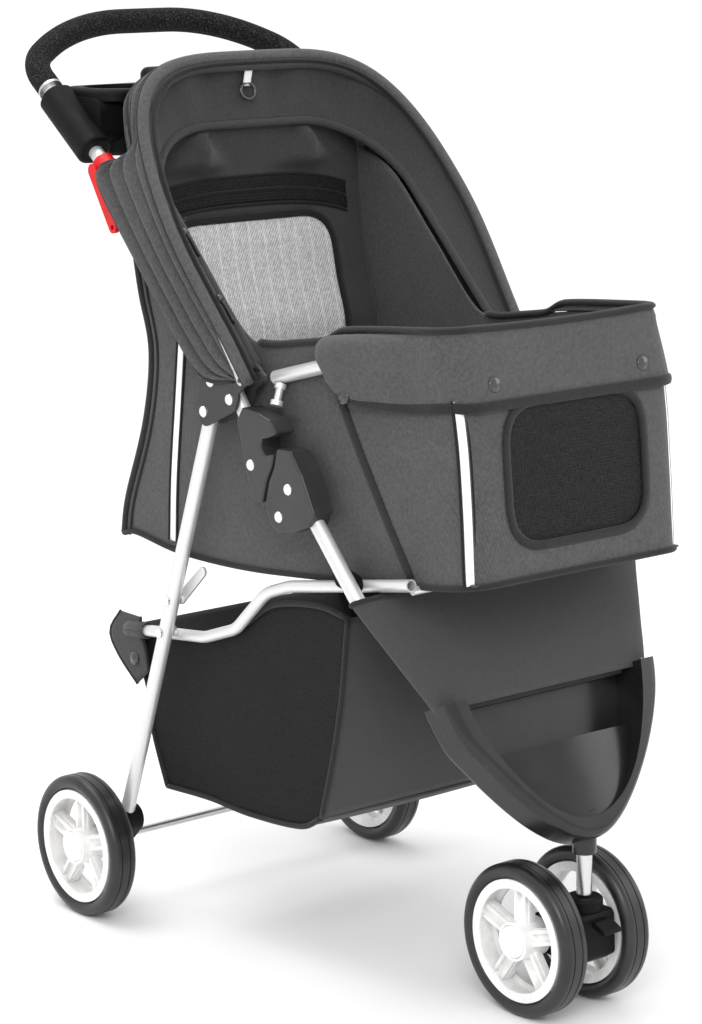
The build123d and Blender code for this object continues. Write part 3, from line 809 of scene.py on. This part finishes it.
def pinch(x, z):
    """Two gathers where the top of the rear wall is caught by the bow."""
    if z < 772:
        return 0.0
    spread = 4 + (818 - z) * 1.1
    depth = max(max(1 - abs(x - centre) / max(spread, MM), 0) for centre in (-66, 70))
    return 24 * depth * smooth(820, 806, z) * smooth(772, 782, z)


def rear_surface(x, z):
    """A place on the rear wall, without the gathers."""
    half = rear_half(z) - 1
    level = (z - REAR_FOOT) / (REAR_TOP - REAR_FOOT)
    return P(x, rear_y(z) + 5.0 * (1 - (x / half) ** 2) * math.sin(math.pi * level), z)


rear_rows = []
for k in range(61):
    z = REAR_FOOT + (REAR_TOP - REAR_FOOT) * k / 60
    across = [(rear_half(z) - 1) * (i / 30 - 1) for i in range(61)]
    rear_rows.append([rear_surface(x, z) - Vector((0, pinch(x, z) * MM, 0)) for x in across])
rear_wall = Shape().grid(rear_rows, keep=rear_open).make(
    "cabin_rear_wall", lining, "rear_frame", CLOTH, 0, "charcoal_fabric"
)
as_sheet(rear_wall, rear_rows, rear_open)

knit_rows = [[rear_surface(x, z) for x in range(-112, 113, 8)] for z in range(516, 733, 8)]
rear_knit = Shape().grid(knit_rows).make("rear_window_knit", window_knit, "rear_frame", 0.5)
as_sheet(rear_knit, knit_rows)
corners = [Vector((x, 0, z)) for x, z in ((-108, 520), (-108, 725), (108, 725), (108, 520))]
ring = [rear_surface(p.x, p.z) for p in rounded(corners, 40, 110)]
for front_side in (-1, 1):
    name = "inner" if front_side < 0 else "outer"
    edge = [p + Vector((0, front_side * 1.6 * MM, 0)) for p in ring]
    Shape().tube(edge, 4.2, 1.6, (0, 1, 0), closed=True).make(
        f"rear_window_binding_{name}", dark_edge, "rear_frame"
    )
vent_rows = []
for k in range(7):
    row = []
    for i in range(61):
        share = i / 30 - 1
        x = 128 * share
        z = 738 + 30 * k / 6 - 14 * abs(share) ** 3
        row.append(rear_surface(x, z) + Vector((0, -2.2 * MM, 0)))
    vent_rows.append(row)
vent = Shape().grid(vent_rows).make("rear_vent_net", black_net, "rear_frame", 0.8)
as_sheet(vent, vent_rows)
vent_lines = Shape()
for row in (vent_rows[0], vent_rows[3], vent_rows[-1]):
    vent_lines.tube([p + Vector((0, -0.8 * MM, 0)) for p in row], 1.4, 1.0, (0, 1, 0))
vent_lines.make("rear_vent_seams", dark_edge, "rear_frame")

# ---- hood ---------------------------------------------------------------------------
HOOD_PIVOT = (-278.0, 597.0)
BOW_PIVOT = (-272.0, 600.0)
HOOD_REACH = 368.0
HOOD_ANGLE = math.radians(53)
HOOD_HALF = 195.0
HOOD_COUNT = 121
HOOD_STEPS = 26


def leaning(x, distance, angle, pivot=HOOD_PIVOT):
    return P(x, pivot[0] + distance * math.cos(angle), pivot[1] + distance * math.sin(angle))


def rim_arch(inset=0.0, forward=0.0):
    """The front rim: an arch with square shoulders that narrows to the pivots."""
    out = []
    for k in range(241):
        turn = math.pi * k / 240
        c, s = math.cos(turn), math.sin(turn)
        x = -math.copysign(abs(c) ** 0.5, c) * (HOOD_HALF - inset)
        reach = abs(s) ** 0.5 * (HOOD_REACH - inset)
        narrow = 1 - 0.07 * (1 - smooth(0, 190, reach))
        p = leaning(x * narrow, reach, HOOD_ANGLE)
        out.append(p + Vector((0, -forward * 0.8, forward * 0.6)) * MM)
    return along(out, HOOD_COUNT)


def mirrored_arch(half):
    """half runs from the right pivot to the middle of the top."""
    other = [(-x, y, z) for x, y, z in reversed(half[:-1])]
    return spline([P(*p) for p in half + other], HOOD_COUNT)


rim = rim_arch()
back = mirrored_arch(
    [(-184, -258, 600), (-187, -216, 598), (-188, -180, 628), (-188, -112, 700), (-188, -54, 764)]
    + [(-187, -46, 784), (-185, -66, 793), (-181, -92, 798), (-177, -82, 830), (-160, -62, 858)]
    + [(-110, -40, 876), (0, -30, 884)]
)


def loft(arches, steps):
    """Rows between arches, smooth across them."""
    rows = []
    columns = [spline([arch[i] for arch in arches], steps) for i in range(len(arches[0]))]
    for j in range(steps):
        rows.append([column[j] for column in columns])
    return rows


outer_rows = loft([rim, back], HOOD_STEPS)
for j, row in enumerate(outer_rows):
    s = j / (HOOD_STEPS - 1)
    for i, p in enumerate(row):
        t = i / (HOOD_COUNT - 1)
        width = (rim[i] - back[i]).length / MM
        side = RIGHT if t < 0.5 else LEFT
        low = 1 - smooth(0.26, 0.42, min(t, 1 - t))
        ridge = (0.5 - 0.5 * math.cos(math.tau * 4 * s)) ** 0.8 * min(width / 60, 1) * low
        dome = math.sin(math.pi * s) * (1 - low) * 5
        sag = 1.5 * noise.noise(p * 22)
        row[i] = p + Vector((side * (ridge * 9 - 4 * (1 - s) * low), 0, dome + sag)) * MM
hood = Shape().grid(outer_rows).make("hood_shell", fabric, None, CLOTH, 0, "charcoal_fabric")
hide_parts("canopy_cloth")
as_sheet(hood, outer_rows)


def bow_arch(angle, pivot, corner, reach, half):
    """An arch of straight legs and round corners, as the wire bows are bent."""
    points = [leaning(-half, 12, angle, pivot), leaning(-half, reach - corner, angle, pivot)]
    for k in range(1, 12):
        turn = math.pi / 2 * k / 12
        x = half - corner + corner * math.cos(turn)
        points.append(leaning(-x, reach - corner + corner * math.sin(turn), angle, pivot))
    points.append(leaning(-(half - corner), reach, angle, pivot))
    other = [Vector((-p.x, p.y, p.z)) for p in reversed(points)]
    return along(points + other, HOOD_COUNT)


def seam_arch(shift=0.0):
    return bow_arch(math.radians(45.6), (-272.0, 600.0), 100.0, 311.0 + shift, 157.0)


inner_rim = rim_arch(3.0)
seam_line = seam_arch(2.0)
middle = [a.lerp(b, 0.5) + Vector((0, 6, 5)) * MM for a, b in zip(inner_rim, seam_line)]
liner_rows = loft([inner_rim, middle, seam_line], 18)
for j, row in enumerate(liner_rows):
    s = j / 17
    for i, p in enumerate(row):
        t = i / (HOOD_COUNT - 1)
        top = smooth(0.2, 0.36, min(t, 1 - t))
        fold = math.sin(t * 74) + 0.6 * math.sin(t * 131 + 1)
        row[i] = p + Vector((0, 1, 0.8)) * 2.0 * MM * fold * math.sin(math.pi * s) ** 0.8 * top
liner = Shape().grid(liner_rows).make("hood_liner", lining, None, 1.2, 0, "charcoal_fabric")
as_sheet(liner, liner_rows)

rear_arch = mirrored_arch(
    [(-150, -246, 616), (-150, -170, 690), (-150, -100, 752), (-149, -50, 770), (-148, -42, 780)]
    + [(-146, -42, 786), (-140, -44, 800), (-118, -46, 812), (-80, -46, 820), (0, -46, 824)]
)
edge_band = Shape().tube(back, 4.5, 2.0, (1, 0, 0))
edge_band.make("hood_rear_binding", binding, "handle_frame", slot="charcoal_fabric")
back_rows = loft([back, rear_arch], 10)
back_panel = Shape().grid(back_rows).make(
    "hood_back", fabric, "handle_frame", CLOTH, 0, "charcoal_fabric"
)
as_sheet(back_panel, back_rows)

rim_band = Shape().tube(rim, 6.5, 4.5, (0, 0.8, -0.6)).make("hood_rim_binding", fabric, None)
rim_line = Shape().tube(rim_arch(9.5, 2.5), 2.4, 2.0, (0, 0.8, -0.6))
rim_line = rim_line.make("hood_rim_zip", dark_edge, None)
rim_edge = Shape().tube(rim_arch(-5.0, -1.0), 1.8).make("hood_rim_piping", binding, None)
fans = Shape()
for share in (0.25, 0.5, 0.75):
    row = outer_rows[round(share * (HOOD_STEPS - 1))]
    reach = round(HOOD_COUNT * 0.42)
    for line in (row[2:reach], row[-reach:-2]):
        fans.tube(line, 1.8, 1.4, (1, 0, 0))
fan_lines = fans.make("hood_fan_seams", binding, None)
front_bow = bow_arch(HOOD_ANGLE, BOW_PIVOT, 125.0, 352.0, 186.0)
bow_sleeve = Shape().tube(front_bow[6:-6], 5.0).make("hood_bow_sleeve", lining, None)
seam_roll = Shape().tube(seam_arch(0.0), 4.2).make("hood_seam_roll", lining, None)
seam_dark = Shape().tube(seam_arch(6.0), 1.4).make("hood_seam_line", dark_edge, None)
teeth = Shape().stitches(rim_arch(13.0, 1.5)[4:46], (0, 0.8, -0.6), 2.6, 1.5, 0.9)
teeth = teeth.make("hood_zip_teeth", snap_black, None)
tab_top = leaning(-8, HOOD_REACH - 8, HOOD_ANGLE)
web = [tab_top + Vector((0, 0.25, -1)) * k * 3.4 * MM for k in range(8)]
web_tab = Shape().tube(web, 5.0, 1.0, (0, 1, 0.25)).make("hood_web_tab", white_web, None)
ring_centre = web[-1] + Vector((0, -2, -5)) * MM
hoop = [
    ring_centre + Vector((math.cos(a), 0.2 * math.sin(a), 0.9 * math.sin(a))) * 9 * MM
    for a in (math.tau * k / 28 for k in range(28))
]
web_ring = Shape().tube(hoop, 1.7, closed=True).make("hood_web_ring", snap_black, None)
pulls = Shape()
for reach in (96, 172):
    top = leaning(-(HOOD_HALF - 15) * (1 - 0.07 * (1 - smooth(0, 190, reach))), reach, HOOD_ANGLE)
    body = [top + Vector((0.1, -0.5, -0.2)) * k * 4 * MM for k in range(4)]
    pulls.tube(body, 4.0, 2.4, (1, 0, 0), sides=12)
    hang = [body[-1] + Vector((0.35, -0.3, -0.9)) * k * 5 * MM for k in range(6)]
    pulls.tube(hang, 2.6, 1.0, (1, 0, 0), sides=12)
zip_pulls = pulls.make("hood_zip_pulls", snap_black, None)
across = Vector((0, -math.sin(HOOD_ANGLE), math.cos(HOOD_ANGLE)))
blended = [hood, liner, rim_band, rim_line, rim_edge, fan_lines, bow_sleeve, seam_roll, seam_dark]
for piece in blended + [teeth, web_tab, web_ring, zip_pulls]:
    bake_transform(piece)

# ---- flap over the bumper bar -------------------------------------------------------
HEM = [(-352, 626), (-362, 606), (-378, 592), (-404, 588), (-464, 588), (-540, 598)]


def hem_z(y):
    """Height of the flap's lower edge at a place along the cabin."""
    for (y0, z0), (y1, z1) in zip(HEM, HEM[1:]):
        if y >= y1:
            share = min(max((y - y0) / (y1 - y0), 0), 1)
            return z0 + (z1 - z0) * smooth(0, 1, share) * 0.3 + (z1 - z0) * share * 0.7
    return HEM[-1][1]


def outward(way, p):
    """Level and square to a line round the cabin, pointing away from the cabin."""
    out = way.cross(Vector((0, 0, 1))).normalized()
    return -out if out.y > 0 or (abs(out.x) > 0.7 and out.x * p.x < 0) else out


BAR_HALF = 152
BAR_BEND = -380
BAR_TAPER = 28 / 123
FLAP_LIFT = 3.5
FLAP_LEAN = 0.27
top_row = cabin[-1]
flap_from = next(i for i, p in enumerate(top_row) if p.y < P(0, -353, 0).y)
flap_rows = []
for i in range(flap_from, len(top_row) - flap_from):
    top = top_row[i]
    y_mm = (top.y - AXLE_Y) / MM
    out = outward(top_row[i + 1] - top_row[i - 1], top)
    bar_x = BAR_HALF - BAR_TAPER * max(BAR_BEND - y_mm, 0)
    on_front = smooth(-440, -495, y_mm)
    over_bar = max(FLAP_LIFT, bar_x + 10 - abs(top.x) / MM)
    over_bar += (FLAP_LIFT - over_bar) * on_front
    low = hem_z(y_mm)
    z_top = top.z / MM + 3 + 4 * on_front
    profile = []
    for push, height in (
        (-3.0 - 21 * on_front, z_top - 2 - 12 * on_front),
        (-3.0 - 15 * on_front, z_top - 3 * on_front),
        (over_bar * 0.45 - 4 * on_front, z_top + 1.5),
        (over_bar * 0.95, z_top - 5),
        (over_bar, z_top - 16),
        (over_bar * 0.8 + 1.5, (z_top - 16 + low) / 2),
        (over_bar * 0.5 + 2.5, low),
    ):
        height = max(height, low)
        lean = FLAP_LEAN if abs(top.x) < 0.12 else FLAP_LEAN / 2
        forward = (z_top - height) * lean * -out.y
        base = Vector((top.x, top.y, height * MM))
        profile.append(base + out * (push + max(forward, 0)) * MM)
    flap_rows.append(spline(profile, 19))
flap_grid = [[row[j] for row in flap_rows] for j in range(19)]
flap = Shape().grid(flap_grid).make("front_flap", fabric, "rear_frame", CLOTH, 0, "charcoal_fabric")
as_sheet(flap, flap_grid)
hem_path = flap_grid[-1]
hem_rows = []
for i, p in enumerate(hem_path):
    way = (hem_path[min(i + 1, len(hem_path) - 1)] - hem_path[max(i - 1, 0)]).normalized()
    out = outward(way, p)
    up = out.cross(way).normalized()
    up = -up if up.z < 0 else up
    turns = [math.tau * k / 12 for k in range(12)]
    hem_rows.append(
        [p + (up * (4 + 5 * math.sin(t)) + out * 2.0 * math.cos(t)) * MM for t in turns]
    )
Shape().grid(hem_rows, closed=True).make("front_flap_hem", binding, "rear_frame")

SNAP = [(-1.5, 0.1), (-1.5, 7.2), (0.2, 7.2), (1.2, 6.2)]
SNAP += [(0.9, 5.0), (1.9, 4.2), (2.4, 2.2), (2.5, 0.1)]
snaps = Shape()
on_flap = [p for row in flap_grid for p in row]
snap_places = [((-94, -532, 620), (0, -1, 0.15)), ((89, -532, 619), (0, -1, 0.15))]
snap_places += [((side * 150, -388, 597), (side, 0, 0.1)) for side in SIDES.values()]
for place, way in snap_places:
    spot = min(on_flap, key=lambda p: (p - P(*place)).length)
    snaps.lathe(spot + Vector((way[0], way[1], 0)) * 1.4 * MM, way, SNAP)
snaps.make("flap_snaps", snap_black, "rear_frame")

# ---- cabin floor --------------------------------------------------------------------
FLOOR_REAR = (-24, 411)
FLOOR_RISE = 27
floor_rows = []
for k in range(40):
    share = k / 39
    y = FLOOR_REAR[0] - share * 520
    z = FLOOR_REAR[1] + share * FLOOR_RISE - 3.0 * math.sin(math.pi * share)
    half = plan_x(y) - 2
    floor_rows.append([P(half * (i / 15 - 1), y, z) for i in range(31)])
floor_panel = Shape().grid(floor_rows).make("cabin_floor", fabric, "rear_frame", 2.0, 0, "board")
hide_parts("floor_board")
as_sheet(floor_panel, floor_rows)
MAT_RINGS = 14
MAT_HALF = (120, 230)
MAT_CENTRE = (-295, 429)
MAT_SLOPE = 0.0565
mat = Shape()
mat_rows = []
for upper in (True, False):
    for k in range(MAT_RINGS):
        share = k / (MAT_RINGS - 1) if upper else 1 - k / (MAT_RINGS - 1)
        level = []
        for i in range(64):
            turn = math.tau * i / 64
            c, s = math.cos(turn), math.sin(turn)
            x = MAT_HALF[0] * share * math.copysign(abs(c) ** 0.25, c)
            y = MAT_HALF[1] * share * math.copysign(abs(s) ** 0.25, s)
            dome = 14 * (1 - share**6) if upper else 0.0
            quilt = 0.8 * math.cos(x * 0.12) * math.cos(y * 0.12) if upper else 0
            level.append(P(x, y + MAT_CENTRE[0], MAT_CENTRE[1] - MAT_SLOPE * y + dome + quilt))
        mat_rows.append(level)
mat.grid(mat_rows, closed=True)
mat_obj = mat.make("cabin_mat", lining, "rear_frame", slot="board")
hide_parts("floor_mat")

# ---- basket -------------------------------------------------------------------------
B_BOTTOM = [(-70, 143), (-144, 147), (-211, 146), (-293, 153), (-327, 170)]
B_TOP = [(-10, 305), (-80, 314), (-160, 322), (-214, 343), (-262, 372), (-330, 384), (-378, 380)]
B_REAR = [(-70, 143), (-52, 200), (-44, 254), (-10, 305)]
B_FRONT = [(-327, 170), (-348, 230), (-366, 299), (-378, 380)]
B_HALF = 144.0
basket_side = coons(flat(B_BOTTOM), flat(B_TOP), flat(B_REAR), flat(B_FRONT), 46, 26)
for name, side in SIDES.items():
    rows = []
    for j, row in enumerate(basket_side):
        v = j / 25
        line = []
        for i, q in enumerate(row):
            u = i / 45
            belly = 5 * math.sin(math.pi * u) * math.sin(math.pi * v) - 6 * (1 - v) ** 2
            line.append(P(side * (B_HALF - 1 + belly), q.y, q.z))
        rows.append(line)
    piece = Shape().grid(rows)
    piece = piece.make(f"basket_side_{name}", basket_net, "rear_frame", 0.8, 0, "charcoal_fabric")
    as_sheet(piece, rows)
    if side == RIGHT:
        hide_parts("storage_basket")
    trim = Shape()
    for line in ([r[0] for r in rows], [r[-1] for r in rows], rows[0], rows[-1]):
        trim.tube(line, 3.0, 3.0)
    trim.make(f"basket_piping_{name}", binding, "rear_frame")


def across_panel(name, edge, bulge):
    """A panel from one basket side to the other, pushed out by bulge in the middle."""
    rows = []
    for j, q in enumerate(spline(flat(edge), 30)):
        v = j / 29
        half = B_HALF - 1 - 6 * (1 - v) ** 2
        push = bulge * math.sin(math.pi * v)
        shares = [i / 20 - 1 for i in range(41)]
        rows.append([P(half * t, q.y + push * (1 - t * t), q.z) for t in shares])
    piece = Shape().grid(rows).make(name, apron, "rear_frame", 1.4, 0, "charcoal_fabric")
    as_sheet(piece, rows)


across_panel("basket_rear", B_REAR, 5)
across_panel("basket_front", B_FRONT, -7)
bottom_line = spline(flat(B_BOTTOM), 30)
rows = [
    [P((B_HALF - 7) * (i / 20 - 1), q.y, q.z - 2 * (1 - (i / 20 - 1) ** 2)) for i in range(41)]
    for q in bottom_line
]
piece = Shape().grid(rows).make("basket_bottom", apron, "rear_frame", 2.0, 0, "charcoal_fabric")
as_sheet(piece, rows)
RAIL_X = 151
LOOP_R = 8.4
for name, side in SIDES.items():
    wrap = []
    for k in range(12):
        c, s = math.cos(math.tau * k / 12), math.sin(math.tau * k / 12)
        x = side * (RAIL_X + LOOP_R * c)
        wrap.append([P(x, y, 306 - (y + 24) * 0.118 + LOOP_R * s) for y in (-60, -48, -36, -27)])
    wrap.append(wrap[0])
    band = Shape().grid(wrap)
    band = band.make(f"basket_loop_{name}", fabric, "rear_frame", 1.4, 0, "charcoal_fabric")
    as_sheet(band, wrap)

TAB_REAR = [(149, -10, 322), (156, 0, 300), (154, -12, 276), (151, -40, 250)]
TAB_FRONT = [(150, -46, 322), (154, -52, 306), (153, -58, 290), (151, -60, 266)]
for name, side in SIDES.items():
    high = spline([P(side * x, y, z) for x, y, z in TAB_REAR], 14)
    low = spline([P(side * x, y, z) for x, y, z in TAB_FRONT], 14)
    tab_rows = [[a.lerp(b, k / 9) for a, b in zip(high, low)] for k in range(10)]
    tab = Shape().grid(tab_rows)
    tab = tab.make(f"basket_tab_{name}", apron, "rear_frame", CLOTH, 0, "charcoal_fabric")
    as_sheet(tab, tab_rows)
    tab_edge = Shape().tube(high, 2.2, 1.6, (side, 0, 0)).tube(low, 2.2, 1.6, (side, 0, 0))
    tab_edge.make(f"basket_tab_binding_{name}", binding, "rear_frame")
    tab_snap = Shape().lathe(P(side * 155, -40, 278), (side, 0, 0.1), SNAP)
    tab_snap.make(f"basket_snap_{name}", snap_black, "rear_frame")

# ---- sleeve over the front legs -----------------------------------------------------
SLEEVE_TOP = (-431.0, 409.0)
SLEEVE_FOOT = (-495.0, 309.0)
LEG_HALF = (172, 124)
sleeve_rows = []
for k in range(22):
    v = k / 21
    y = SLEEVE_TOP[0] + (SLEEVE_FOOT[0] - SLEEVE_TOP[0]) * v
    z = SLEEVE_TOP[1] + (SLEEVE_FOOT[1] - SLEEVE_TOP[1]) * v
    leg = LEG_HALF[0] + (LEG_HALF[1] - LEG_HALF[0]) * v
    row = []
    for i in range(61):
        turn = math.tau * i / 60
        c, s = math.cos(turn), math.sin(turn)
        x = (leg + 9.5) * math.copysign(abs(c) ** 0.35, c)
        deep = 10.5 * math.copysign(abs(s) ** 0.8, s)
        slack = 1.2 * noise.noise(Vector((x * 0.02, v * 3, 7)))
        row.append(P(x, y - 0.85 * (deep + slack), z + 0.52 * deep))
    sleeve_rows.append(row)
sleeve = Shape().grid(sleeve_rows)
sleeve = sleeve.make("leg_sleeve_cloth", apron, "front_frame", 1.4, 0, "charcoal_fabric")
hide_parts("leg_sleeve")
as_sheet(sleeve, sleeve_rows)
Shape().tube(sleeve_rows[0], 2.6).make("leg_sleeve_binding", binding, "front_frame")

# ---- floor, light and camera --------------------------------------------------------
VIEW_AZIMUTH = -39.21
FLOOR_END, WALL_TOP, SWEEP = 3.0, 9.0, 2.5
sweep_line = [Vector((0, y, 0)) for y in (-7, -3, 0, FLOOR_END)]
for k in range(1, 13):
    turn = math.pi / 2 * k / 12
    sweep_line.append(
        Vector((0, FLOOR_END + SWEEP * math.sin(turn), SWEEP - SWEEP * math.cos(turn)))
    )
sweep_line.append(Vector((0, FLOOR_END + SWEEP, WALL_TOP)))
turn_to_view = Matrix.Rotation(math.radians(VIEW_AZIMUTH), 3, "Z")
ground = Shape().grid(
    [[turn_to_view @ Vector((x, p.y, p.z)) for x in (-9, -4, 0, 4, 9)] for p in sweep_line]
)
ground = ground.make("ground", Look("pale_floor", (0.93, 0.93, 0.93), 0.9).material, None)
ground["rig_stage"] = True
world = bpy.data.worlds.new("studio")
bpy.context.scene.world = world
world.use_nodes = True
world.node_tree.nodes["Background"].inputs[0].default_value = (1, 1, 1, 1)
world.node_tree.nodes["Background"].inputs[1].default_value = 1.0


def softbox(name, place, size, power):
    data = bpy.data.lights.new(name, "AREA")
    data.size = size
    data.energy = power
    light = bpy.data.objects.new(name, data)
    light.location = place
    aim = Vector((0, 0, 0.45)) - Vector(place)
    light.rotation_euler = aim.to_track_quat("-Z", "Y").to_euler()
    bpy.context.scene.collection.objects.link(light)
    light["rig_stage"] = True


softbox("key_light", place=(-2.2, -2.6, 2.6), size=1.6, power=60)
softbox("fill_light", place=(2.8, -1.6, 1.8), size=2.0, power=22)
softbox("top_light", place=(-0.4, 0.8, 3.0), size=2.2, power=40)

camera_data = bpy.data.cameras.new("camera")
camera_data.lens = 102.64
camera_data.sensor_width = 36
camera_data.clip_end = 50
camera = bpy.data.objects.new("camera", camera_data)
azimuth = math.radians(VIEW_AZIMUTH)
elevation, roll = math.radians(11.721), math.radians(-0.54)
backward = Vector(
    (
        math.sin(azimuth) * math.cos(elevation),
        -math.cos(azimuth) * math.cos(elevation),
        math.sin(elevation),
    )
)
right = (-backward).cross(Vector((0, 0, 1))).normalized()
up = right.cross(-backward)
turned_right = right * math.cos(roll) + up * math.sin(roll)
turned_up = -right * math.sin(roll) + up * math.cos(roll)
pose = Matrix((turned_right, turned_up, backward)).transposed().to_4x4()
pose.translation = P(-1836.476, -2459.444, 1039.86)
camera.matrix_world = pose
bpy.context.scene.collection.objects.link(camera)
bpy.context.scene.camera = camera
camera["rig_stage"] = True
bpy.context.scene.view_settings.view_transform = "Standard"

# ---- each soft piece riding on the rear frame gets its own mesh ---------------------
for obj in list(bpy.context.scene.objects):
    rides = obj.get("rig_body") == "rear_frame" and "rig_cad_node" not in obj
    if rides and obj.type == "MESH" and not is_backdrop(obj):
        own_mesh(obj)
